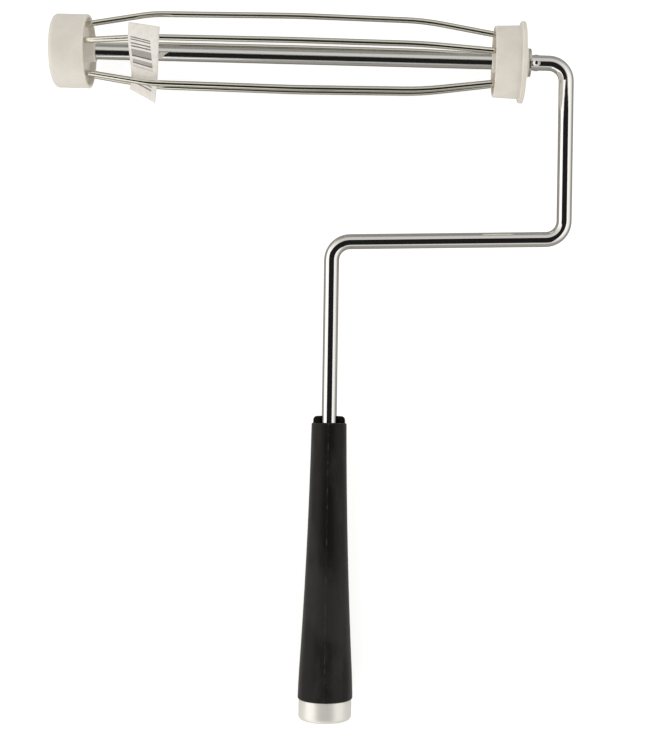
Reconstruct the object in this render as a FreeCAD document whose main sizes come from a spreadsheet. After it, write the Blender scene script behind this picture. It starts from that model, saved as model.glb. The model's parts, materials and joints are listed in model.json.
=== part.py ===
import FreeCAD, Part
import math
import os
import Sketcher
from FreeCAD import Placement, Rotation, Vector

# A 9 inch cage-type paint roller frame, lying flat as on a bench. Millimetres.
#
# Working frame: the roller's axis is X, its origin is on that axis at the inner face of the
# inner cap's flange, the handle hangs towards -Y and the rod's plane is Z = 0. The parts of the
# handle have a frame of their own, at the corner of arm and shank, with the handle along -Y.
# At the end everything is turned and moved as one, so that the flange and the grip's lower edge
# rest on Z = 0 and the origin is under the middle of the box.

document = FreeCAD.newDocument("paint_roller")
sheet = document.addObject("Spreadsheet::Sheet", "Sizes")

DRIVING_SIZES = {
    # bent rod
    "rod_radius": 3.8,
    "axle_end": 230.4,
    "leg_offset": 24.05,
    "leg_length": 89.15,
    "arm_length": 117.75,
    "lean_angle": 0.6,
    "rise_angle": 2.09,
    "shank_length": 154.0,
    "first_bend_radius": 9.0,
    "bend_radius": 9.5,
    "dimple_offset": 8.5,
    "dimple_ball": 2.8,
    "dimple_sink": 0.85,
    "stop_ear": 0.35,
    "punch_angle": 13.0,
    "shank_ear": 0.8,
    "shank_ear_station": 142.0,
    "ear_length": 2.3,
    "ear_width": 1.5,
    "ear_gap": 0.1,
    "tip_chamfer": 0.6,
    # end caps
    "running_gap": 0.08,
    "cage_length": 235.6,
    "outer_cap_length": 17.6,
    "outer_cap_radius": 18.35,
    "cap_edge_round": 2.5,
    "recess_radius": 9.0,
    "recess_depth": 10.4,
    "inner_cap_length": 13.0,
    "inner_cap_nose_radius": 17.85,
    "inner_cap_root_radius": 18.3,
    "flange_radius": 20.43,
    "flange_thickness": 2.4,
    "flange_round": 0.6,
    "hub_radius": 7.5,
    "hub_height": 2.1,
    "nose_round": 0.5,
    "cup_radius": 16.9,
    "cup_depth": 3.0,
    "boss_radius": 5.2,
    "outer_boss_reach": 3.3,
    "inner_boss_reach": 0.9,
    "boss_round": 0.4,
    # cover disc, retainer washer and push nut inside the outer cap
    "plug_thickness": 1.6,
    "plug_inset": 0.15,
    "plug_lip": 1.5,
    "plug_lip_wall": 1.2,
    "plug_gap": 0.05,
    "retainer_radius": 6.6,
    "retainer_thickness": 0.9,
    "retainer_round": 0.2,
    "nut_radius": 6.2,
    "nut_thickness": 0.6,
    "nut_dish": 1.1,
    "nut_prong_length": 1.1,
    "nut_bore_gap": 0.02,
    "nut_slot_width": 1.2,
    "end_gap": 0.15,
    # thrust washer beside the hub
    "thrust_radius": 7.05,
    "thrust_thickness": 1.2,
    "thrust_round": 0.25,
    "thrust_gap": 0.1,
    # cage wires
    "wire_radius": 1.5,
    "wire_socket": 8.0,
    "wire_socket_gap": 0.03,
    "socket_end_gap": 0.1,
    "wire_left_radius": 13.8,
    "wire_left_bend_x": 186.0,
    "wire_left_bend_radius": 19.4,
    "wire_crown_x": 113.0,
    "wire_crown_radius": 20.3,
    "wire_right_bend_x": 49.0,
    "wire_right_bend_radius": 19.4,
    "wire_right_radius": 13.6,
    "wire_left_bend": 65.0,
    "wire_crown_bend": 600.0,
    "wire_right_bend": 130.0,
    # handle, stations measured from the corner of arm and shank
    "neck_station": 88.4,
    "neck_cut_station": 92.5,
    "grip_top_station": 91.9,
    "grip_end_station": 231.6,
    "handle_end_station": 242.1,
    "neck_radius": 8.1,
    "neck_round": 2.0,
    "core_foot_radius": 12.55,
    "core_foot_chamfer": 1.3,
    "core_flare_start": 150.0,
    "core_flare_end": 226.0,
    "handle_gap": 0.05,
    "rod_end_gap": 0.3,
    "grip_top_radius": 8.9,
    "grip_top_round": 0.7,
    "grip_flare": 2800.0,
    "grip_lower_station": 209.4,
    "grip_lower_radius": 12.95,
    "grip_heel": 600.0,
    "grip_end_radius": 13.95,
    "grip_end_round": 0.8,
    "ferrule_radius": 13.4,
    "ferrule_wall": 0.8,
    "ferrule_round": 2.0,
    "ferrule_mouth_radius": 10.3,
    "socket_radius": 9.65,
    "socket_depth": 30.0,
    "socket_chamfer": 0.6,
    # paper label tucked into the cage
    "label_width": 15.7,
    "label_offset": 196.4,
    "label_thickness": 0.2,
}
WIRE_COUNT = 5
FIRST_WIRE_ANGLE = 7.5  # degrees, from +Y towards +Z

for row, (alias, number) in enumerate(DRIVING_SIZES.items(), start=1):
    sheet.set(f"A{row}", alias)
    sheet.set(f"B{row}", str(number))
    sheet.setAlias(f"B{row}", alias)
document.recompute()


class Size:
    """A number together with the spreadsheet expression that gives it."""

    def __init__(self, value, text):
        self.value = value
        self.text = text

    def combined(self, other, sign, value):
        return Size(value, f"({self.text} {sign} {as_size(other).text})")

    def __add__(self, other):
        return self.combined(other, "+", self.value + as_size(other).value)

    def __sub__(self, other):
        return self.combined(other, "-", self.value - as_size(other).value)

    def __mul__(self, other):
        return self.combined(other, "*", self.value * as_size(other).value)

    def __truediv__(self, other):
        return self.combined(other, "/", self.value / as_size(other).value)

    def __neg__(self):
        return Size(-self.value, f"(-1 * {self.text})")

    def sine(self):
        return Size(math.sin(math.radians(self.value)), f"sin({self.text} * 1 deg)")

    def cosine(self):
        return Size(math.cos(math.radians(self.value)), f"cos({self.text} * 1 deg)")

    def tangent(self):
        return Size(math.tan(math.radians(self.value)), f"tan({self.text} * 1 deg)")


def as_size(item):
    return item if isinstance(item, Size) else Size(float(item), f"{float(item)!r}")


def size(alias):
    return Size(float(sheet.get(alias)), f"Sizes.{alias}")


def bind(feature, name, amount):
    """Sets a property of a feature to a size and keeps it bound to the spreadsheet."""
    setattr(feature, name, as_size(amount).value)
    feature.setExpression(name, as_size(amount).text)


# ---------------------------------------------------------------- sketches


def new_body(label):
    body = document.addObject("PartDesign::Body", label)
    body.Label = label
    return body


def new_sketch(body, name, plane, offset=0.0):
    """A sketch on one of the body's own origin planes, moved along its normal by offset."""
    sketch = body.newObject("Sketcher::SketchObject", name)
    origin = [item for item in body.Origin.OriginFeatures if item.Role == plane][0]
    sketch.AttachmentSupport = [(origin, "")]
    sketch.MapMode = "FlatFace"
    sketch.AttachmentOffset = Placement(Vector(0, 0, as_size(offset).value), Rotation())
    if isinstance(offset, Size):
        sketch.setExpression("AttachmentOffset.Base.z", offset.text)
    return sketch


def arc_between(start, end, radius, turn):
    """The short arc from start to end, and which of its ends is at start."""
    middle = (start + end) * 0.5
    chord = end - start
    rise = math.sqrt(max(radius**2 - chord.Length**2 / 4, 0.0))
    left = Vector(-chord.y, chord.x, 0).normalize()
    centre = middle + left * (rise * turn)
    circle = Part.Circle(centre, Vector(0, 0, 1), radius)
    first, last = (start, end) if turn > 0 else (end, start)
    angles = [math.atan2(p.y - centre.y, p.x - centre.x) for p in (first, last)]
    if angles[1] < angles[0]:
        angles[1] += 2 * math.pi
    return Part.ArcOfCircle(circle, *angles), 1 if turn > 0 else 2


def draw(sketch, steps, closed=True):
    """Draws a chain of lines and arcs whose points are bound to the spreadsheet.

    A step is (x, y), reached by a line, or (x, y, radius, turn), reached by an arc that turns
    left (+1) or right (-1). The first step is where the chain starts.
    """
    places = [Vector(as_size(s[0]).value, as_size(s[1]).value, 0) for s in steps]
    order = list(range(1, len(steps))) + ([0] if closed else [])
    ends = []
    previous = 0
    for index in order:
        step, start, end = steps[index], places[previous], places[index]
        if len(step) == 2:
            edge = sketch.addGeometry(Part.LineSegment(start, end), False)
            ends.append((edge, 1, 2))
        else:
            arc, at_start = arc_between(start, end, as_size(step[2]).value, step[3])
            edge = sketch.addGeometry(arc, False)
            ends.append((edge, at_start, 3 - at_start))
            constrain(sketch, "Radius", (edge,), step[2])
        previous = index
    for (edge, _, last), (following, first, _) in zip(ends, ends[1:] + ends[:1]):
        if closed or following != ends[0][0]:
            sketch.addConstraint(Sketcher.Constraint("Coincident", edge, last, following, first))
    for index, (edge, first, _) in zip([0] + order, ends):
        constrain(sketch, "DistanceX", (-1, 1, edge, first), steps[index][0])
        constrain(sketch, "DistanceY", (-1, 1, edge, first), steps[index][1])
    if not closed:
        edge, _, last = ends[-1]
        constrain(sketch, "DistanceX", (-1, 1, edge, last), steps[-1][0])
        constrain(sketch, "DistanceY", (-1, 1, edge, last), steps[-1][1])
    return [edge for edge, _, _ in ends]


def constrain(sketch, kind, where, amount):
    number = sketch.addConstraint(Sketcher.Constraint(kind, *where, as_size(amount).value))
    sketch.setExpression(f"Constraints[{number}]", as_size(amount).text)


def draw_circle(sketch, x, y, radius):
    centre = Vector(as_size(x).value, as_size(y).value, 0)
    circle = Part.Circle(centre, Vector(0, 0, 1), as_size(radius).value)
    edge = sketch.addGeometry(circle, False)
    constrain(sketch, "Radius", (edge,), radius)
    constrain(sketch, "DistanceX", (-1, 1, edge, 3), x)
    constrain(sketch, "DistanceY", (-1, 1, edge, 3), y)


# ---------------------------------------------------------------- features


def revolve(body, name, steps, axis="H_Axis", cut=False):
    """Turns an outline drawn on the body's XY plane about the sketch's own axis."""
    sketch = new_sketch(body, name + "_outline", "XY_Plane")
    draw(sketch, steps)
    kind = "PartDesign::Groove" if cut else "PartDesign::Revolution"
    feature = body.newObject(kind, name)
    feature.Profile = (sketch, [""])
    feature.ReferenceAxis = (sketch, [axis])
    feature.Angle = 360.0
    return feature


def heading(start, end):
    """The direction from one point to the next, in degrees from +X."""
    across = end[0] - start[0]
    up = end[1] - start[1]
    value = math.degrees(math.atan2(up.value, across.value))
    return Size(value, f"(atan2({up.text}; {across.text}) / 1 deg)")


def rounded_path(corners, radii):
    """The steps of a path through these corners, each inner corner bent to its radius."""
    steps = [corners[0]]
    for before, corner, after, radius in zip(corners, corners[1:], corners[2:], radii):
        arriving = heading(before, corner)
        leaving = heading(corner, after)
        turn = 1 if leaving.value > arriving.value else -1
        reach = radius * ((leaving - arriving) * (turn / 2)).tangent()
        steps.append((corner[0] - reach * arriving.cosine(), corner[1] - reach * arriving.sine()))
        bent_x = corner[0] + reach * leaving.cosine()
        bent_y = corner[1] + reach * leaving.sine()
        steps.append((bent_x, bent_y, radius, turn))
    steps.append(corners[-1])
    return steps


def bar(body, name, corners, radii, bar_radius):
    """A round bar bent along a flat path through the corners."""
    path = new_sketch(body, name + "_path", "XY_Plane")
    edges = draw(path, rounded_path(corners, radii), closed=False)
    section = new_sketch(body, name + "_section", "YZ_Plane")
    start = heading(corners[0], corners[1])
    at_start = Vector(corners[0][1].value, 0, corners[0][0].value)
    section.AttachmentOffset = Placement(at_start, Rotation(Vector(0, 1, 0), start.value))
    section.setExpression("AttachmentOffset.Base.x", corners[0][1].text)
    section.setExpression("AttachmentOffset.Base.z", corners[0][0].text)
    section.setExpression("AttachmentOffset.Rotation.Angle", start.text)
    draw_circle(section, 0.0, 0.0, bar_radius)
    feature = body.newObject("PartDesign::AdditivePipe", name)
    feature.Profile = (section, [""])
    feature.Spine = (path, [f"Edge{number + 1}" for number in range(len(edges))])
    return feature


def primitive(body, kind, name, sizes, placement):
    """One of PartDesign's own solids, added to or taken from the body."""
    feature = body.newObject("PartDesign::" + kind, name)
    for property_name, amount in sizes.items():
        bind(feature, property_name, amount)
    feature.Placement = placement
    return feature


def repeat_about_axis(body, name, feature, role, count):
    """Repeats a feature evenly round one of the body's own axes."""
    axis = [item for item in body.Origin.OriginFeatures if item.Role == role][0]
    pattern = body.newObject("PartDesign::PolarPattern", name)
    pattern.Originals = [feature]
    pattern.Axis = (axis, [""])
    pattern.Angle = 360.0
    pattern.Occurrences = count
    body.Tip = pattern
    return pattern


def ring_steps(low, high, inner, outer, corner):
    """The outline of a flat ring with its two outer corners rounded."""
    return [
        (low, inner),
        (low, outer - corner),
        (low + corner, outer, corner, -1),
        (high - corner, outer),
        (high, outer - corner, corner, -1),
        (high, inner),
    ]


def chamfer_ends(body, name, centres, radius, width):
    """Chamfers the round edges of the given radius whose centres are listed."""
    document.recompute()
    base = body.Tip
    names = []
    for number, edge in enumerate(base.Shape.Edges, start=1):
        if isinstance(edge.Curve, Part.Circle) and abs(edge.Curve.Radius - radius) < 0.01:
            if any((edge.Curve.Center - centre).Length < 0.01 for centre in centres):
                names.append(f"Edge{number}")
    feature = body.newObject("PartDesign::Chamfer", name)
    feature.Base = (base, names)
    bind(feature, "Size", width)
    return feature


# ---------------------------------------------------------------- shared sizes

rod_radius = size("rod_radius")
bearing_radius = rod_radius + size("running_gap")
nothing = as_size(0.0)

# corners of the rod's centre line
leg_way = (size("lean_angle").sine(), -size("lean_angle").cosine())
arm_way = (-size("rise_angle").cosine(), -size("rise_angle").sine())


def along(point, way, distance):
    return (point[0] + way[0] * distance, point[1] + way[1] * distance)


axle_tip = (-size("axle_end"), nothing)
top_corner = (size("leg_offset"), nothing)
elbow = along(top_corner, leg_way, size("leg_length"))
shank_corner = along(elbow, arm_way, size("arm_length"))
shank_tip = along(shank_corner, leg_way, size("shank_length"))
ROD_CORNERS = [axle_tip, top_corner, elbow, shank_corner, shank_tip]
ROD_BENDS = [size("first_bend_radius"), size("bend_radius"), size("bend_radius")]

# faces of the caps along X
outer_face = -size("cage_length")
outer_inner_face = outer_face + size("outer_cap_length")
recess_floor = outer_face + size("recess_depth")
inner_inner_face = -size("inner_cap_length")
hub_face = size("flange_thickness") + size("hub_height")
outer_cup_floor = outer_inner_face - size("cup_depth")
inner_cup_floor = inner_inner_face + size("cup_depth")
outer_boss_face = outer_inner_face + size("outer_boss_reach")
inner_boss_face = inner_inner_face - size("inner_boss_reach")

# corners of a cage wire, X and distance from the roller's axis
left_mouth = (outer_inner_face, size("wire_left_radius"))
left_bend = (-size("wire_left_bend_x"), size("wire_left_bend_radius"))
crown = (-size("wire_crown_x"), size("wire_crown_radius"))
right_bend = (-size("wire_right_bend_x"), size("wire_right_bend_radius"))
right_mouth = (inner_inner_face, size("wire_right_radius"))


def past(start, end, distance):
    """The point that far beyond end along X, on the line from start to end."""
    slope = (end[1] - start[1]) / (end[0] - start[0])
    return (end[0] + distance, end[1] + slope * distance)


left_tip = past(left_bend, left_mouth, -size("wire_socket"))
right_tip = past(right_bend, right_mouth, size("wire_socket"))
WIRE_CORNERS = [left_tip, left_bend, crown, right_bend, right_tip]
WIRE_BENDS = [size("wire_left_bend"), size("wire_crown_bend"), size("wire_right_bend")]


# ---------------------------------------------------------------- rod and washers


def make_frame_rod():
    """The chrome-plated rod: axle, leg, arm and shank in one piece, with its punched stops."""
    body = new_body("frame_rod")
    bar(body, "rod", ROD_CORNERS, ROD_BENDS, rod_radius)
    turned = Rotation(Vector(0, 0, 1), size("lean_angle").value)
    ends = [Vector(corner[0].value, corner[1].value, 0) for corner in (axle_tip, shank_tip)]
    chamfer_ends(body, "tips", ends, rod_radius.value, size("tip_chamfer"))
    ball = size("dimple_ball")
    depth = rod_radius.value + ball.value - size("dimple_sink").value
    punched = Rotation(Vector(1, 0, 0), size("punch_angle").value)
    for side, way in (("front", 1), ("back", -1)):
        centre = punched.multVec(Vector(size("dimple_offset").value, 0, way * depth))
        primitive(
            body,
            "SubtractiveSphere",
            "dimple_" + side,
            {"Radius": ball},
            Placement(centre, Rotation()),
        )
    ear = {"Radius1": size("ear_width"), "Radius2": size("ear_length"), "Radius3": size("ear_width")}
    reach = rod_radius.value - size("ear_width").value
    for side, way in (("upper", 1), ("lower", -1)):
        off_axis = way * (reach + size("stop_ear").value)
        centre = punched.multVec(Vector(size("dimple_offset").value, off_axis, 0))
        primitive(body, "AdditiveEllipsoid", "stop_ear_" + side, ear, Placement(centre, punched))
    station = along(shank_corner, leg_way, size("shank_ear_station"))
    ear = {"Radius1": size("ear_width"), "Radius2": size("ear_width"), "Radius3": size("ear_length")}
    for side, way in (("right", 1), ("left", -1)):
        offset = turned.multVec(Vector(way * (reach + size("shank_ear").value), 0, 0))
        place = Placement(Vector(station[0].value, station[1].value, 0) + offset, turned)
        primitive(body, "AdditiveEllipsoid", "shank_ear_" + side, ear, place)
    return body


def make_ring(label, low, high, outer, corner):
    body = new_body(label)
    revolve(body, label + "_ring", ring_steps(low, high, bearing_radius, outer, corner))
    return body


def make_thrust_washer():
    """The steel washer between the hub of the inner cap and the stop on the axle."""
    low = hub_face + size("thrust_gap")
    high = low + size("thrust_thickness")
    return make_ring("thrust_washer", low, high, size("thrust_radius"), size("thrust_round"))


def make_retainer_washer():
    """The washer between the floor of the outer cap's recess and the push nut."""
    high = recess_floor - size("end_gap")
    low = high - size("retainer_thickness")
    corner = size("retainer_round")
    return make_ring("retainer_washer", low, high, size("retainer_radius"), corner)


def make_push_nut():
    """The pressed spring-steel nut that grips the axle and holds the cage on."""
    body = new_body("push_nut")
    flat_back = recess_floor - size("end_gap") * 2 - size("retainer_thickness")
    flat_front = flat_back - size("nut_thickness")
    grip = rod_radius + size("nut_bore_gap")
    shoulder = rod_radius + size("nut_prong_length")
    dish = size("nut_dish")
    outline = [
        (flat_back, shoulder),
        (flat_back, size("nut_radius")),
        (flat_front, size("nut_radius")),
        (flat_front, shoulder),
        (flat_front - dish, grip),
        (flat_back - dish, grip),
    ]
    revolve(body, "dished_ring", outline)
    width = size("nut_slot_width")
    slot = primitive(
        body,
        "SubtractiveBox",
        "prong_slot",
        {"Length": dish * 3, "Width": width, "Height": shoulder},
        Placement(Vector((flat_front - dish * 1.5).value, -width.value / 2, 0), Rotation()),
    )
    repeat_about_axis(body, "prong_slots", slot, "X_Axis", 6)
    return body


# ---------------------------------------------------------------- cage


def cut_wire_sockets(body, name, mouth, bend):
    """Five blind round sockets, each in line with the end of its wire."""
    tip = past(bend, mouth, size("wire_socket") * (1 if mouth[0].value > bend[0].value else -1))
    way = Vector((bend[0] - tip[0]).value, (bend[1] - tip[1]).value, 0).normalize()
    start = Vector(tip[0].value, tip[1].value, 0) - way * size("socket_end_gap").value
    first = Placement(Vector(), Rotation(Vector(1, 0, 0), FIRST_WIRE_ANGLE))
    place = first.multiply(Placement(start, Rotation(Vector(0, 0, 1), way)))
    bore = {"Radius": size("wire_radius") + size("wire_socket_gap"), "Height": size("wire_socket")}
    socket = primitive(body, "SubtractiveCylinder", name, bore, place)
    repeat_about_axis(body, name + "s", socket, "X_Axis", WIRE_COUNT)


def make_outer_end_cap():
    """The nylon cap at the free end: a cup with a bearing boss, a recess for the retainer outside."""
    body = new_body("outer_end_cap")
    edge = size("cap_edge_round")
    corner = size("nose_round")
    boss_round = size("boss_round")
    outer = size("outer_cap_radius")
    outline = [
        (recess_floor, bearing_radius),
        (recess_floor, size("recess_radius")),
        (outer_face, size("recess_radius")),
        (outer_face, outer - edge),
        (outer_face + edge, outer, edge, -1),
        (outer_inner_face - corner, outer),
        (outer_inner_face, outer - corner, corner, -1),
        (outer_inner_face, size("cup_radius")),
        (outer_cup_floor + corner, size("cup_radius")),
        (outer_cup_floor, size("cup_radius") - corner, corner, 1),
        (outer_cup_floor, size("boss_radius")),
        (outer_boss_face - boss_round, size("boss_radius")),
        (outer_boss_face, size("boss_radius") - boss_round, boss_round, -1),
        (outer_boss_face, bearing_radius),
    ]
    revolve(body, "cap", outline)
    cut_wire_sockets(body, "wire_socket", left_mouth, left_bend)
    return body


def make_inner_end_cap():
    """The nylon cap at the rod's side, with the flange that stops the roller cover."""
    body = new_body("inner_end_cap")
    corner = size("nose_round")
    boss_round = size("boss_round")
    rim = size("flange_round")
    flange = size("flange_thickness")
    nose = size("inner_cap_nose_radius")
    outline = [
        (inner_boss_face, bearing_radius),
        (inner_boss_face, size("boss_radius") - boss_round),
        (inner_boss_face + boss_round, size("boss_radius"), boss_round, -1),
        (inner_cup_floor, size("boss_radius")),
        (inner_cup_floor, size("cup_radius") - corner),
        (inner_cup_floor - corner, size("cup_radius"), corner, 1),
        (inner_inner_face, size("cup_radius")),
        (inner_inner_face, nose - corner),
        (inner_inner_face + corner, nose, corner, -1),
        (nothing, size("inner_cap_root_radius")),
        (nothing, size("flange_radius") - rim),
        (rim, size("flange_radius"), rim, -1),
        (flange - rim, size("flange_radius")),
        (flange, size("flange_radius") - rim, rim, -1),
        (flange, size("hub_radius")),
        (hub_face - corner, size("hub_radius")),
        (hub_face, size("hub_radius") - corner, corner, -1),
        (hub_face, bearing_radius),
    ]
    revolve(body, "cap", outline)
    cut_wire_sockets(body, "wire_socket", right_mouth, right_bend)
    return body


def make_outer_cap_plug():
    """The snap-in disc that closes the recess of the outer cap."""
    body = new_body("outer_cap_plug")
    rim = size("recess_radius") - size("plug_gap")
    front = outer_face + size("plug_inset")
    back = front + size("plug_thickness")
    corner = size("nose_round")
    outline = [
        (front, nothing),
        (front, rim - corner),
        (front + corner, rim, corner, -1),
        (back + size("plug_lip"), rim),
        (back + size("plug_lip"), rim - size("plug_lip_wall")),
        (back, rim - size("plug_lip_wall")),
        (back, nothing),
    ]
    revolve(body, "disc", outline)
    return body


def make_cage_wire(number):
    """One bowed spring wire of the cage."""
    body = new_body(f"cage_wire_{number}")
    bar(body, "wire", WIRE_CORNERS, WIRE_BENDS, size("wire_radius"))
    return body


def make_label():
    """The paper label, a strip over one wire and under the next. Its points are Y, Z."""
    body = new_body("paper_label")
    middle = [(10.4, 21.3), (3.3, 21.1), (-4.0, 17.0), (-13.5, 6.6), (-23.6, -1.2)]
    half = size("label_thickness").value / 2
    sides = ([], [])
    for index, point in enumerate(middle):
        before = Vector(*middle[max(index - 1, 0)], 0)
        after = Vector(*middle[min(index + 1, len(middle) - 1)], 0)
        way = (after - before).normalize()
        for side, sign in zip(sides, (1, -1)):
            side.append((point[0] - way.y * half * sign, point[1] + way.x * half * sign))
    sketch = new_sketch(body, "strip_outline", "YZ_Plane", -size("label_offset"))
    draw(sketch, sides[0] + sides[1][::-1])
    pad = body.newObject("PartDesign::Pad", "strip")
    pad.Profile = (sketch, [""])
    bind(pad, "Length", size("label_width"))
    return body


# ---------------------------------------------------------------- handle

core_foot = -(size("handle_end_station") - size("ferrule_wall") - size("handle_gap"))


def make_handle_core():
    """The plastic core: half-round neck behind the shank above, socket for a pole below."""
    body = new_body("handle_core")
    bore = rod_radius + size("handle_gap")
    neck = -size("neck_station")
    corner = size("neck_round")
    outer = size("neck_radius")
    foot = size("core_foot_radius")
    bevel = size("core_foot_chamfer")
    socket = size("socket_radius")
    lead_in = size("socket_chamfer")
    bore_end = -(size("shank_length") + size("rod_end_gap"))
    outline = [
        (bore, neck),
        (outer - corner, neck),
        (outer, neck - corner, corner, -1),
        (outer, -size("core_flare_start")),
        (foot, -size("core_flare_end")),
        (foot, core_foot + bevel),
        (foot - bevel, core_foot),
        (socket + lead_in, core_foot),
        (socket, core_foot + lead_in),
        (socket, core_foot + size("socket_depth")),
        (nothing, core_foot + size("socket_depth")),
        (nothing, bore_end),
        (bore, bore_end),
    ]
    revolve(body, "core", outline, axis="V_Axis")
    cut_foot = -size("neck_cut_station")
    cut_height = neck - cut_foot + size("ear_length")
    primitive(
        body,
        "SubtractiveBox",
        "neck_front",
        {"Length": outer * 2, "Width": cut_height, "Height": outer},
        Placement(Vector(-outer.value, cut_foot.value, 0), Rotation()),
    )
    ear_reach = rod_radius + size("shank_ear") + size("ear_gap")
    ear_half = size("ear_width") + size("ear_gap")
    ear_foot = -(size("shank_ear_station") + size("ear_length") + size("rod_end_gap"))
    primitive(
        body,
        "SubtractiveBox",
        "ear_slot",
        {"Length": ear_reach * 2, "Width": neck - ear_foot + size("ear_length"), "Height": ear_half * 2},
        Placement(Vector(-ear_reach.value, ear_foot.value, -ear_half.value), Rotation()),
    )
    return body


def make_grip_sleeve():
    """The flared grip outside the core."""
    body = new_body("grip_sleeve")
    inner = size("neck_radius") + size("handle_gap")
    inner_foot = size("core_foot_radius") + size("handle_gap")
    top = -size("grip_top_station")
    end = -size("grip_end_station")
    top_round = size("grip_top_round")
    end_round = size("grip_end_round")
    top_radius = size("grip_top_radius")
    end_radius = size("grip_end_radius")
    outline = [
        (inner, top),
        (top_radius - top_round, top),
        (top_radius, top - top_round, top_round, -1),
        (size("grip_lower_radius"), -size("grip_lower_station"), size("grip_flare"), 1),
        (end_radius, end + end_round, size("grip_heel"), -1),
        (end_radius - end_round, end, end_round, -1),
        (inner_foot, end),
        (inner_foot, -size("core_flare_end")),
        (inner, -size("core_flare_start")),
    ]
    revolve(body, "sleeve", outline, axis="V_Axis")
    return body


def make_ferrule():
    """The drawn metal cup on the foot of the handle, open where the pole screws in."""
    body = new_body("ferrule")
    outer = size("ferrule_radius")
    wall = size("ferrule_wall")
    bend = size("ferrule_round")
    mouth = size("ferrule_mouth_radius")
    rim = -(size("grip_end_station") + size("handle_gap"))
    end = -size("handle_end_station")
    outline = [
        (outer - wall, rim),
        (outer, rim),
        (outer, end + bend),
        (outer - bend, end, bend, -1),
        (mouth, end),
        (mouth, end + wall),
        (outer - bend, end + wall),
        (outer - wall, end + bend, bend - wall, 1),
    ]
    revolve(body, "cup", outline, axis="V_Axis")
    return body


# ---------------------------------------------------------------- assembly

corner_place = Vector(shank_corner[0].value, shank_corner[1].value, 0)
handle_frame = Placement(corner_place, Rotation(Vector(0, 0, 1), size("lean_angle").value))
parts = [
    (make_frame_rod(), Placement()),
    (make_thrust_washer(), Placement()),
    (make_inner_end_cap(), Placement()),
    (make_outer_end_cap(), Placement()),
    (make_outer_cap_plug(), Placement()),
    (make_retainer_washer(), Placement()),
    (make_push_nut(), Placement()),
    (make_label(), Placement()),
    (make_handle_core(), handle_frame),
    (make_grip_sleeve(), handle_frame),
    (make_ferrule(), handle_frame),
]
for number in range(WIRE_COUNT):
    angle = FIRST_WIRE_ANGLE + number * 360.0 / WIRE_COUNT
    wire_frame = Placement(Vector(), Rotation(Vector(1, 0, 0), angle))
    parts.append((make_cage_wire(number + 1), wire_frame))
document.recompute()


def lying_tilt():
    """How far the handle's end drops, in degrees, when flange and grip edge both touch down."""
    edge_round = size("grip_end_round").value
    station = size("grip_end_station").value - edge_round
    distance = -along(shank_corner, leg_way, as_size(station))[1].value
    drop = size("grip_end_radius").value - edge_round
    rest = size("flange_radius").value - edge_round
    tilt = math.asin(rest / math.hypot(distance, drop)) - math.atan2(drop, distance)
    return math.degrees(tilt)


def box_of(shapes):
    box = FreeCAD.BoundBox()
    for shape in shapes:
        box.add(shape.optimalBoundingBox(False, False))
    return box


lie_down = Placement(Vector(), Rotation(Vector(1, 0, 0), lying_tilt()))
for body, local in parts:
    body.Placement = lie_down.multiply(local)
document.recompute()
box = box_of([body.Shape for body, _ in parts])
shift = Vector(-box.Center.x, -box.Center.y, -box.ZMin)
for body, local in parts:
    body.Placement = Placement(shift, Rotation()).multiply(lie_down).multiply(local)
document.recompute()

for item in document.Objects:
    if "Invalid" in item.State or "Error" in item.State:
        raise RuntimeError(f"{item.Label} could not be computed: {item.State}")
for body, _ in parts:
    if body.Shape.isNull() or not body.Shape.isValid() or len(body.Shape.Solids) != 1:
        raise RuntimeError(f"{body.Label} is not one valid solid")

os.makedirs("parts", exist_ok=True)
for body, _ in parts:
    body.Shape.exportStep(f"parts/{body.Label}.step")

tilt = lying_tilt()
print(f"tilt {tilt:.4f} deg, shift {shift.x:.4f} {shift.y:.4f} {shift.z:.4f} mm")
print(f"box {box.XLength:.2f} x {box.YLength:.2f} x {box.ZLength:.2f} mm")
for body, _ in parts:
    print(f"{body.Label:16s} {body.Shape.Volume:10.1f} mm3")
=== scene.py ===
import json
import math

import bmesh
import bpy
from mathutils import Matrix, Vector


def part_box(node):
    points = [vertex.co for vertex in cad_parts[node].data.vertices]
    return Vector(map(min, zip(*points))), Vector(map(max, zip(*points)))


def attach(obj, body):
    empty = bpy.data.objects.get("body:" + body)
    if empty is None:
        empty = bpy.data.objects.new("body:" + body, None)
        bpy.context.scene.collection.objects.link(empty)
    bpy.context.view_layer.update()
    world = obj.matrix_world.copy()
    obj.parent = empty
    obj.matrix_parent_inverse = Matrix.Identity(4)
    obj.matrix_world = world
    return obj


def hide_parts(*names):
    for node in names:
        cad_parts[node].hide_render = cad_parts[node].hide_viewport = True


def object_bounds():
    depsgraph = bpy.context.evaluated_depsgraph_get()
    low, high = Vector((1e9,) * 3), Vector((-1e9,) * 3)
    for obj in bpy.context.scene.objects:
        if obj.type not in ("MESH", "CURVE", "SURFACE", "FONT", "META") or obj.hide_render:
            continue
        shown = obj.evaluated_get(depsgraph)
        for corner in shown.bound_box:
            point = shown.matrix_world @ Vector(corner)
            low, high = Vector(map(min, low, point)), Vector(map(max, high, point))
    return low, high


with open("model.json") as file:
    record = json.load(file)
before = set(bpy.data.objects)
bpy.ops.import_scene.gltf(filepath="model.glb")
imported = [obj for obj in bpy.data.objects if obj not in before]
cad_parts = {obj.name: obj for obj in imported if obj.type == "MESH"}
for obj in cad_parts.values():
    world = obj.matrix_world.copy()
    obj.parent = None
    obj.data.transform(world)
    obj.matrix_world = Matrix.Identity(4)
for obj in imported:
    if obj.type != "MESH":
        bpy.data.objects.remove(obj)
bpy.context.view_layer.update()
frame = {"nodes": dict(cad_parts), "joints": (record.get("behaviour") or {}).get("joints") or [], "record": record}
nodes = frame["nodes"]
mounts = {m["name"]: m for m in frame["record"]["mounts"]}
joints = {j["name"]: j for j in frame["joints"]}

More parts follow.
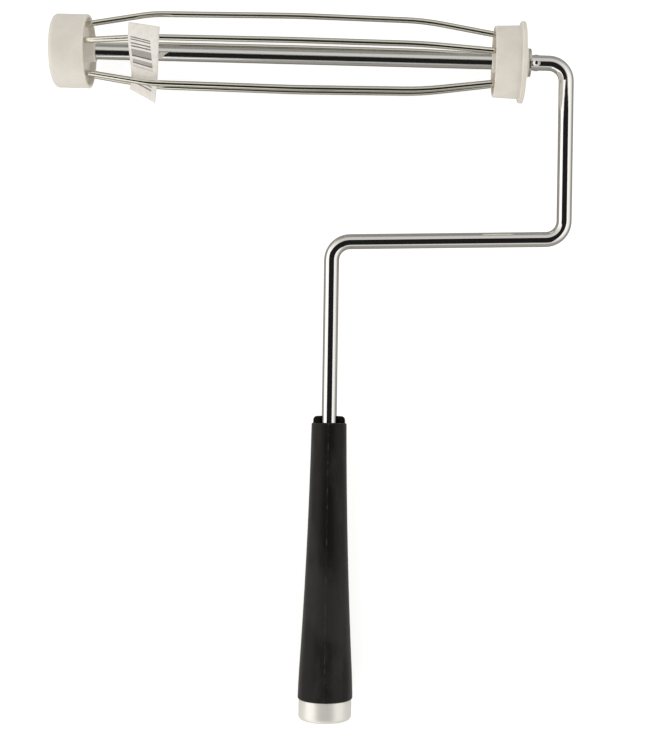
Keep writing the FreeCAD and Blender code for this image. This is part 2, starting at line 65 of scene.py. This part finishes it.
# ---------------------------------------------------------------- working frames
# The tool's own plane: X along the roller's axis, Y up the picture, Z towards the viewer,
# with the origin on the axis at the flange's inner face. It leans a little on the floor.
shank_way = Vector(mounts["pole_socket"]["axis"])
tilt = math.atan2(-shank_way.z, -shank_way.y)
spin = joints["cage_spin"]["pos_m"]
flange_face = mounts["cover_stop"]["pos_m"][0]
tool_frame = Matrix.Translation((flange_face, spin[1], spin[2])) @ Matrix.Rotation(tilt, 4, "X")

# The handle's frame: Y up the shank, X to the right, Z towards the viewer, with its origin
# on the socket's axis a little inside the mouth.
lean = math.asin(shank_way.x)
handle_frame = (
    Matrix.Translation(mounts["pole_socket"]["pos_m"])
    @ Matrix.Rotation(tilt, 4, "X")
    @ Matrix.Rotation(lean, 4, "Z")
)

# ---------------------------------------------------------------- camera
# Foot, height and roll are in the tool's frame. Sensor and lens are in millimetres.
CAMERA_FOOT = (-0.06713, -0.16674)
CAMERA_HEIGHT = 0.7259
CAMERA_ROLL = math.radians(1.4635)
CAMERA_SENSOR = 36.0
CAMERA_LENS = 70.232
CAMERA_SHIFT = (-0.076398, 0.028649)

camera = bpy.data.objects.new("camera", bpy.data.cameras.new("camera"))
bpy.context.scene.collection.objects.link(camera)
camera.data.sensor_width = CAMERA_SENSOR
camera.data.lens = CAMERA_LENS
camera.data.shift_x, camera.data.shift_y = CAMERA_SHIFT
camera.matrix_world = (
    tool_frame
    @ Matrix.Translation((*CAMERA_FOOT, CAMERA_HEIGHT))
    @ Matrix.Rotation(CAMERA_ROLL, 4, "Z")
)
bpy.context.scene.camera = camera
bpy.context.scene.view_settings.view_transform = "Standard"


# ---------------------------------------------------------------- node helpers
def node(tree, kind, inputs=None, **settings):
    """A new node with its settings made and its inputs set or linked."""
    made = tree.nodes.new(kind)
    for name, value in settings.items():
        setattr(made, name, value)
    for name, value in (inputs or {}).items():
        if isinstance(value, bpy.types.NodeSocket):
            tree.links.new(value, made.inputs[name])
        else:
            made.inputs[name].default_value = value
    return made


def maths(tree, operation, *values):
    """The result of one Math node."""
    return node(tree, "ShaderNodeMath", dict(enumerate(values)), operation=operation).outputs[0]


def step(tree, value, low, high, at_low=0.0, at_high=1.0):
    """A smooth change from at_low to at_high as value goes from low to high."""
    ends = {"Value": value, "From Min": low, "From Max": high, "To Min": at_low, "To Max": at_high}
    return node(tree, "ShaderNodeMapRange", ends, interpolation_type="SMOOTHSTEP").outputs[0]


def blend_colours(tree, factor, first, second):
    """first where factor is 0, second where it is 1."""
    made = node(tree, "ShaderNodeMix", data_type="RGBA")
    for name, value in (("Factor", factor), ("A", first), ("B", second)):
        socket = [s for s in made.inputs if s.name == name and s.enabled][0]
        if isinstance(value, bpy.types.NodeSocket):
            tree.links.new(value, socket)
        else:
            socket.default_value = value
    return [s for s in made.outputs if s.enabled][0]


def noise(tree, vector, scale, detail=2.0, roughness=0.5):
    """The value of a noise texture."""
    inputs = {"Vector": vector, "Scale": scale, "Detail": detail, "Roughness": roughness}
    return node(tree, "ShaderNodeTexNoise", inputs).outputs[0]


def coordinates(tree, local=None, stretch=(1, 1, 1)):
    """Object coordinates in metres, in the local frame if one is given, then stretched."""
    point = node(tree, "ShaderNodeTexCoord").outputs["Object"]
    if local is not None:
        inputs = {"Vector": point, "Location": local.to_translation(), "Rotation": local.to_euler()}
        point = node(tree, "ShaderNodeMapping", inputs, vector_type="TEXTURE").outputs[0]
    if stretch != (1, 1, 1):
        point = node(tree, "ShaderNodeMapping", {"Vector": point, "Scale": stretch}).outputs[0]
    return point


def bump(tree, height, distance, strength=1.0, normal=None):
    """A normal from a height that goes from 0 to 1, with distance as its real depth in metres."""
    inputs = {"Height": height, "Distance": distance, "Strength": strength}
    if normal is not None:
        inputs["Normal"] = normal
    return node(tree, "ShaderNodeBump", inputs).outputs[0]


def finish_material(name, colour, roughness, metallic=0.0, normal=None, **rest):
    """Sets the shader's sockets. Text keys such as Subsurface_Weight stand for socket names."""
    mat = bpy.data.materials[name]
    tree = mat.node_tree
    shader = tree.nodes["Principled BSDF"]
    sockets = {"Base Color": colour, "Roughness": roughness, "Metallic": metallic}
    sockets.update({key.replace("_", " "): value for key, value in rest.items()})
    if normal is not None:
        sockets["Normal"] = normal
    for key, value in sockets.items():
        if isinstance(value, bpy.types.NodeSocket):
            tree.links.new(value, shader.inputs[key])
        else:
            shader.inputs[key].default_value = value
    return mat


def new_tree(name):
    """The node tree of a new material."""
    mat = bpy.data.materials.new(name)
    mat.use_nodes = True
    return mat.node_tree


def rgb(red, green, blue):
    return (red, green, blue, 1.0)


# ---------------------------------------------------------------- materials
# Their names differ from those of the frame's own materials, since each is found by its name.
# Noise scales are per metre, and bump distances are in metres.
def chrome_rod():
    """Bright chrome plating, with faint smudges and specks."""
    tree = new_tree("chrome rod")
    point = coordinates(tree)
    smudges = noise(tree, point, 45, 3)
    specks = noise(tree, point, 900, 2)
    roughness = step(tree, smudges, 0.35, 0.7, 0.03, 0.06)
    speckled = step(tree, specks, 0.6, 0.75)
    colour = blend_colours(tree, speckled, rgb(0.80, 0.79, 0.775), rgb(0.72, 0.71, 0.69))
    waves = noise(tree, point, 160, 1)
    normal = bump(tree, waves, 0.000012)
    return finish_material("chrome rod", colour, roughness, 1.0, normal, Specular_Tint=rgb(0.6, 0.6, 0.6))


def cage_wire():
    """Drawn spring wire, with fine lines along it."""
    tree = new_tree("cage wire")
    lines = noise(tree, coordinates(tree, stretch=(30, 4000, 4000)), 1, 3)
    patches = noise(tree, coordinates(tree), 60, 2)
    colour = blend_colours(tree, patches, rgb(0.71, 0.695, 0.61), rgb(0.83, 0.815, 0.73))
    roughness = step(tree, lines, 0.3, 0.7, 0.05, 0.12)
    normal = bump(tree, lines, 0.000004)
    return finish_material("cage wire", colour, roughness, 1.0, normal)


def nylon():
    """Milky, slightly cloudy nylon that lets a little light through."""
    tree = new_tree("milky nylon")
    point = coordinates(tree)
    clouds = noise(tree, point, 70, 4, 0.6)
    grain = noise(tree, point, 2200, 2)
    colour = blend_colours(tree, step(tree, clouds, 0.3, 0.7), rgb(0.77, 0.73, 0.675), rgb(0.70, 0.66, 0.60))
    roughness = step(tree, clouds, 0.3, 0.7, 0.36, 0.5)
    normal = bump(tree, grain, 0.00002, 0.6)
    return finish_material(
        "milky nylon", colour, roughness, 0.0, normal,
        Subsurface_Weight=0.35, Subsurface_Radius=(1.0, 0.95, 0.85), Subsurface_Scale=0.0015, IOR=1.53,
    )


def plastic(name, local, colours, rough, parting_line):
    """Black moulded plastic: flow streaks, dull patches, fine grain, and a broken parting line."""
    tree = new_tree(name)
    point = coordinates(tree, local)
    streaks = noise(tree, coordinates(tree, local, (260, 9, 260)), 1, 3)
    patches = step(tree, noise(tree, coordinates(tree, local, (70, 28, 70)), 1, 3), 0.38, 0.66)
    grain = noise(tree, point, 1500, 2)
    streaks = maths(tree, "MULTIPLY", streaks, 0.35)
    patches = maths(tree, "MULTIPLY", patches, 0.45)
    mixed = maths(tree, "ADD", maths(tree, "ADD", streaks, patches), maths(tree, "MULTIPLY", grain, 0.35))
    colour = blend_colours(tree, step(tree, mixed, 0.3, 0.85), *colours)
    roughness = step(tree, mixed, 0.3, 0.85, *rough)
    normal = bump(tree, grain, 0.00006, 0.7)
    if parting_line:
        across = node(tree, "ShaderNodeSeparateXYZ", {"Vector": point}).outputs["X"]
        line = step(tree, maths(tree, "ABSOLUTE", across), 0.00008, 0.0003, 1.0, 0.0)
        normal = bump(tree, line, 0.00008, 1.0, normal)
        gaps = step(tree, noise(tree, coordinates(tree, local, (20, 240, 20)), 1, 2), 0.5, 0.62)
        colour = blend_colours(tree, maths(tree, "MULTIPLY", line, gaps), colour, rgb(0.04, 0.037, 0.033))
    return finish_material(
        name, colour, roughness, 0.0, normal, IOR=1.49, Specular_IOR_Level=0.16,
        Sheen_Weight=0.2, Sheen_Roughness=0.4, Sheen_Tint=rgb(1, 1, 1),
    )


def turned_metal(name, colours, rough, stretch, local=None, metallic=1.0, **rest):
    """Metal with fine machining lines, along the axis that is stretched least."""
    tree = new_tree(name)
    lines = noise(tree, coordinates(tree, local, stretch), 1, 2)
    patches = noise(tree, coordinates(tree, local), 120, 2)
    colour = blend_colours(tree, patches, *colours)
    roughness = step(tree, lines, 0.3, 0.7, *rough)
    normal = bump(tree, lines, 0.000004)
    return finish_material(name, colour, roughness, metallic, normal, **rest)


steel = turned_metal(
    "washer steel", (rgb(0.50, 0.49, 0.44), rgb(0.68, 0.665, 0.61)), (0.22, 0.36), (300, 1500, 1500)
)
spring_steel = turned_metal(
    "spring steel", (rgb(0.16, 0.15, 0.14), rgb(0.26, 0.25, 0.23)), (0.25, 0.4), (300, 900, 900)
)
ferrule = turned_metal(
    "ferrule metal", (rgb(0.88, 0.865, 0.82), rgb(0.93, 0.915, 0.875)), (0.40, 0.52), (30, 5000, 30),
    handle_frame, 0.5, Anisotropic=0.4, Anisotropic_Rotation=0.25,
)
tree = ferrule.node_tree
tangent = node(tree, "ShaderNodeTangent", direction_type="RADIAL", axis="Y").outputs[0]
tree.links.new(tangent, tree.nodes["Principled BSDF"].inputs["Tangent"])
GRIP_COLOURS = (rgb(0.0065, 0.006, 0.0055), rgb(0.023, 0.021, 0.019))
CORE_COLOURS = (rgb(0.0085, 0.008, 0.0075), rgb(0.0155, 0.0145, 0.0135))
grip = plastic("grip plastic", handle_frame, GRIP_COLOURS, (0.42, 0.58), True)
core = plastic("core plastic", handle_frame, CORE_COLOURS, (0.32, 0.44), False)
chrome = chrome_rod()
wire = cage_wire()
milky = nylon()

FINISHES = {
    "frame_rod": chrome,
    "inner_end_cap": milky,
    "outer_end_cap": milky,
    "outer_cap_plug": milky,
    "thrust_washer": steel,
    "retainer_washer": steel,
    "push_nut": spring_steel,
    "handle_core": core,
    "grip_sleeve": grip,
    "ferrule": ferrule,
}
for name, obj in nodes.items():
    finish = wire if name.startswith("cage_wire") else FINISHES.get(name)
    if finish:
        for place in obj.material_slots:
            place.material = finish


# ---------------------------------------------------------------- pole thread
# Metres. Heights are along the socket's axis, in the handle's frame.
SOCKET_RADIUS = mounts["pole_socket"]["dims"]["r_mm"] / 1000
THREAD_PITCH = 0.00508
THREAD_DEPTH = 0.0025
THREAD_ENDS = (-0.0028, 0.0235)
ROOT_WIDTH = 0.0029
CREST_WIDTH = 0.0011
THREAD_STEPS = 64
FADE_STEPS = THREAD_STEPS / 4
WALL_OVERLAP = 0.0001


def make_pole_thread():
    """The coarse thread moulded in the pole socket, as one ridge that fades out at both ends."""
    shape = bmesh.new()
    count = round((THREAD_ENDS[1] - THREAD_ENDS[0]) / THREAD_PITCH * THREAD_STEPS)
    wall = SOCKET_RADIUS + WALL_OVERLAP
    rings = []
    for number in range(count + 1):
        turn = math.tau * number / THREAD_STEPS
        height = THREAD_ENDS[0] + THREAD_PITCH * number / THREAD_STEPS
        share = min(1.0, (number + 1) / FADE_STEPS, (count - number + 1) / FADE_STEPS)
        crest = wall - (THREAD_DEPTH + WALL_OVERLAP) * share
        profile = ((wall, -ROOT_WIDTH), (crest, -CREST_WIDTH), (crest, CREST_WIDTH), (wall, ROOT_WIDTH))
        ring = []
        for radius, width in profile:
            point = Vector((radius * math.cos(turn), height + width / 2, radius * math.sin(turn)))
            ring.append(shape.verts.new(handle_frame @ point))
        rings.append(ring)
    for first, second in zip(rings, rings[1:]):
        for side in range(4):
            after = (side + 1) % 4
            shape.faces.new((first[side], second[side], second[after], first[after]))
    shape.faces.new(rings[0])
    shape.faces.new(rings[-1][::-1])
    bmesh.ops.recalc_face_normals(shape, faces=shape.faces)
    mesh = bpy.data.meshes.new("pole_thread")
    shape.to_mesh(mesh)
    shape.free()
    mesh.materials.append(core)
    thread = bpy.data.objects.new("pole_thread", mesh)
    bpy.context.scene.collection.objects.link(thread)
    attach(thread, "root")


make_pole_thread()


# ---------------------------------------------------------------- paper label
# The label's two long edges from top to bottom, in millimetres: X from its CAD solid's left side,
# and Y and Z from the roller's axis. It twists a little as it goes over one wire and under the next.
# Its thickness and curl are in metres.
LABEL_LEFT_EDGE = ((1.5, 10.2, 21.3), (1.2, 4.0, 21.6), (1.4, -3.4, 17.8), (1.3, -8.4, 10.9),
                   (1.2, -13.3, 6.1), (-0.6, -18.8, 1.4))
LABEL_RIGHT_EDGE = ((17.1, 8.2, 21.3), (16.7, 2.9, 21.6), (16.1, -3.8, 17.6), (14.9, -10.3, 9.6),
                    (14.0, -14.6, 5.4), (11.9, -24.9, -2.2))
LABEL_THICKNESS = 0.00012
LABEL_CURL = 0.0005

# The printed bars, in millimetres down the label: start, end and darkness. They stand for no code.
BARS = (
    (6.3, 6.8, 0.95),
    (7.4, 7.9, 0.95),
    (9.2, 9.9, 0.85),
    (10.7, 11.4, 0.9),
    (12.6, 16.2, 0.62),
    (16.2, 17.0, 0.95),
    (18.6, 20.8, 0.52),
    (20.8, 21.5, 0.95),
    (22.6, 23.8, 0.25),
    (31.6, 32.2, 0.7),
    (33.2, 33.9, 0.85),
)
BAR_SLOPE = 0.17
BAR_MARGINS = (1.3, 11.0)
BAR_BLUR = 0.1
MARGIN_BLUR = 0.15


def label_paper():
    """Off-white label stock with printed grey bars and small creases."""
    tree = new_tree("label paper")
    place = node(tree, "ShaderNodeUVMap", uv_map="millimetres").outputs[0]
    across, down, _ = node(tree, "ShaderNodeSeparateXYZ", {"Vector": place}).outputs
    wobble = maths(tree, "MULTIPLY", noise(tree, place, 0.9), 0.25)
    along = maths(tree, "SUBTRACT", down, maths(tree, "MULTIPLY", across, BAR_SLOPE))
    along = maths(tree, "ADD", along, wobble)
    ink = 0.0
    for start, end, darkness in BARS:
        rise = step(tree, along, start - BAR_BLUR, start + BAR_BLUR, 0.0, darkness)
        fall = step(tree, along, end - BAR_BLUR, end + BAR_BLUR, 1.0, 0.0)
        ink = maths(tree, "ADD", ink, maths(tree, "MULTIPLY", rise, fall))
    first, last = BAR_MARGINS
    past_first = step(tree, across, first - MARGIN_BLUR, first + MARGIN_BLUR)
    before_last = step(tree, across, last - MARGIN_BLUR, last + MARGIN_BLUR, 1.0, 0.0)
    inside = maths(tree, "MULTIPLY", past_first, before_last)
    worn = step(tree, noise(tree, place, 3.5, 3), 0.3, 0.6, 0.75, 1.0)
    ink = maths(tree, "MULTIPLY", maths(tree, "MULTIPLY", ink, worn), inside)
    stains = step(tree, noise(tree, place, 0.35, 3), 0.35, 0.7)
    paper = blend_colours(tree, stains, rgb(0.86, 0.825, 0.785), rgb(0.79, 0.75, 0.71))
    colour = blend_colours(tree, ink, paper, rgb(0.02, 0.02, 0.025))
    fibres = noise(tree, place, 9, 4, 0.7)
    creases = noise(tree, place, 0.45, 2)
    normal = bump(tree, fibres, 0.00002, 0.7, bump(tree, creases, 0.0006, 0.5))
    roughness = step(tree, fibres, 0.3, 0.7, 0.55, 0.75)
    return finish_material("label paper", colour, roughness, 0.0, normal)


def make_label():
    """A strip of three columns, subdivided, so that it bends as paper does."""
    left_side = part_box("paper_label")[0].x - flange_face
    shape = bmesh.new()
    uv = shape.loops.layers.uv.new("millimetres")
    rows, places, down = [], {}, 0.0
    last_middle = None
    for left, right in zip(LABEL_LEFT_EDGE, LABEL_RIGHT_EDGE):
        corners = [Vector((left_side + x / 1000, y / 1000, z / 1000)) for x, y, z in (left, right)]
        middle = (corners[0] + corners[1]) / 2
        if last_middle is not None:
            down += (middle - last_middle).length * 1000
        last_middle = middle.copy()
        middle.z += LABEL_CURL
        row = [shape.verts.new(tool_frame @ point) for point in (corners[0], middle, corners[1])]
        width = (corners[1] - corners[0]).length * 1000
        for vertex, share in zip(row, (0.0, 0.5, 1.0)):
            places[vertex] = (share * width, down)
        rows.append(row)
    for upper, lower in zip(rows, rows[1:]):
        for column in (0, 1):
            corners = (upper[column], lower[column], lower[column + 1], upper[column + 1])
            face = shape.faces.new(corners)
            face.smooth = True
            for loop in face.loops:
                loop[uv].uv = places[loop.vert]
    mesh = bpy.data.meshes.new("label_strip")
    shape.to_mesh(mesh)
    shape.free()
    mesh.materials.append(label_paper())
    label = bpy.data.objects.new("label_strip", mesh)
    bpy.context.scene.collection.objects.link(label)
    finer = label.modifiers.new("finer", "SUBSURF")
    finer.levels = finer.render_levels = 3
    finer.boundary_smooth = "PRESERVE_CORNERS"
    thicker = label.modifiers.new("thicker", "SOLIDIFY")
    thicker.thickness = LABEL_THICKNESS
    thicker.offset = 0.0
    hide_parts("paper_label")
    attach(label, "cage")


make_label()


# ---------------------------------------------------------------- floor and light
def place_card(name, corners, mat, place):
    """A flat card for the studio, with its corners in its own plane."""
    mesh = bpy.data.meshes.new(name)
    mesh.from_pydata([(x, y, 0) for x, y in corners], [], [range(len(corners))])
    mesh.materials.append(mat)
    card = bpy.data.objects.new(name, mesh)
    bpy.context.scene.collection.objects.link(card)
    card.matrix_world = place
    return card


def studio_paint(name, albedo, glow):
    """Flat paint that also glows a little."""
    tree = new_tree(name)
    shader = tree.nodes["Principled BSDF"]
    shader.inputs["Base Color"].default_value = rgb(albedo, albedo, albedo)
    shader.inputs["Roughness"].default_value = 1.0
    shader.inputs["Specular IOR Level"].default_value = 0.0
    shader.inputs["Emission Color"].default_value = rgb(1, 1, 1)
    shader.inputs["Emission Strength"].default_value = glow
    return tree


FLOOR_RADIUS = 12.0
FLOOR_SIDES = 96
FLOOR_GAP = 0.0002
FLOOR_ALBEDO = 0.5
FLOOR_GLOW = 0.72
MIRRORED_FLOOR = rgb(0.42, 0.41, 0.39)


def make_floor():
    """A white floor, which only the reflections see as grey."""
    tree = studio_paint("pale floor", FLOOR_ALBEDO, FLOOR_GLOW)
    paint = tree.nodes["Principled BSDF"].outputs[0]
    mirrored = node(tree, "ShaderNodeBsdfDiffuse", {"Color": MIRRORED_FLOOR}).outputs[0]
    in_mirror = node(tree, "ShaderNodeLightPath").outputs["Is Glossy Ray"]
    mixed = node(tree, "ShaderNodeMixShader", {0: in_mirror, 1: paint, 2: mirrored})
    tree.links.new(mixed.outputs[0], tree.nodes["Material Output"].inputs["Surface"])
    turns = [math.tau * number / FLOOR_SIDES for number in range(FLOOR_SIDES)]
    rim = [(FLOOR_RADIUS * math.cos(turn), FLOOR_RADIUS * math.sin(turn)) for turn in turns]
    place = Matrix.Translation((0, 0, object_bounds()[0].z - FLOOR_GAP))
    place_card("floor", rim, bpy.data.materials["pale floor"], place)


# The dark screen overhead, between object and camera, measured from the camera's foot.
SCREEN_HALF_WIDTH = 0.44
SCREEN_TOP = 0.27
SCREEN_BOTTOM = -0.72
SCREEN_HEIGHT = 0.52
SCREEN_GLOW = 0.015


def make_screen():
    """The dark screen overhead, which only the reflections see."""
    studio_paint("dark screen", 0.0, SCREEN_GLOW)
    half = SCREEN_HALF_WIDTH
    corners = [(-half, SCREEN_BOTTOM), (half, SCREEN_BOTTOM), (half, SCREEN_TOP), (-half, SCREEN_TOP)]
    place = tool_frame @ Matrix.Translation((*CAMERA_FOOT, SCREEN_HEIGHT))
    screen = place_card("screen", corners, bpy.data.materials["dark screen"], place)
    screen.visible_camera = False
    screen.visible_diffuse = False
    screen.visible_shadow = False
    screen.visible_transmission = False


# The studio's brightness on each side of the picture: degrees from overhead, then brightness.
LEFT_WALL = ((40, 1.3), (90, 1.45))
RIGHT_WALL = ((42, 1.22), (90, 0.95))
TOP_WALL = ((28, 0.8), (40, 0.65), (53, 0.76), (72, 0.38), (90, 0.33))
FOOT_WALL = ((45, 0.9), (66, 0.8), (88, 0.36))
FOOT_CORNER = 1.15
CORNER_SPAN = (-0.15, -0.07)
CEILING = 0.3
CEILING_SPAN = (math.radians(15), math.radians(27))
WALL_BLEND = 0.6
# Only the camera sees the backdrop.
BACKDROP = 1.06
ALMOST_ZERO = 0.0001
STUDIO_COLOUR = rgb(1, 0.985, 0.95)


def fade(tree, angle, wall):
    """A wall's brightness at that angle from overhead, smooth from each stop to the next."""
    (last_stop, light), *rest = wall
    for stop, brightness in rest:
        light = step(tree, angle, math.radians(last_stop), math.radians(stop), light, brightness)
        last_stop = stop
    return light


def make_world():
    """A bright studio: the main light from the left, softer walls elsewhere."""
    world = bpy.data.worlds.new("studio")
    bpy.context.scene.world = world
    world.use_nodes = True
    tree = world.node_tree
    way = node(tree, "ShaderNodeTexCoord").outputs["Generated"]
    way = node(tree, "ShaderNodeVectorMath", {0: way}, operation="NORMALIZE").outputs[0]
    x, y, z = node(tree, "ShaderNodeSeparateXYZ", {"Vector": way}).outputs
    x_squared = maths(tree, "MULTIPLY", x, x)
    y_squared = maths(tree, "MULTIPLY", y, y)
    across = maths(tree, "SQRT", maths(tree, "ADD", x_squared, y_squared))
    across = maths(tree, "MAXIMUM", across, ALMOST_ZERO)
    from_zenith = maths(tree, "ARCTAN2", across, z)
    rightward = maths(tree, "DIVIDE", x, across)
    upward = maths(tree, "DIVIDE", y, across)
    walls = (LEFT_WALL, RIGHT_WALL, TOP_WALL, FOOT_WALL)
    left, right, top, foot = [fade(tree, from_zenith, wall) for wall in walls]
    foot = step(tree, rightward, *CORNER_SPAN, FOOT_CORNER, foot)
    sides = step(tree, rightward, -WALL_BLEND, WALL_BLEND, left, right)
    ends = step(tree, upward, -WALL_BLEND, WALL_BLEND, foot, top)
    side_share = maths(tree, "MULTIPLY", rightward, rightward)
    all_round = step(tree, side_share, 0.0, 1.0, ends, sides)
    light = step(tree, from_zenith, *CEILING_SPAN, CEILING, all_round)
    seen = node(tree, "ShaderNodeLightPath").outputs["Is Camera Ray"]
    light = step(tree, seen, 0.0, 1.0, light, BACKDROP)
    background = tree.nodes["Background"]
    background.inputs["Color"].default_value = STUDIO_COLOUR
    tree.links.new(light, background.inputs["Strength"])


make_floor()
make_screen()
make_world()
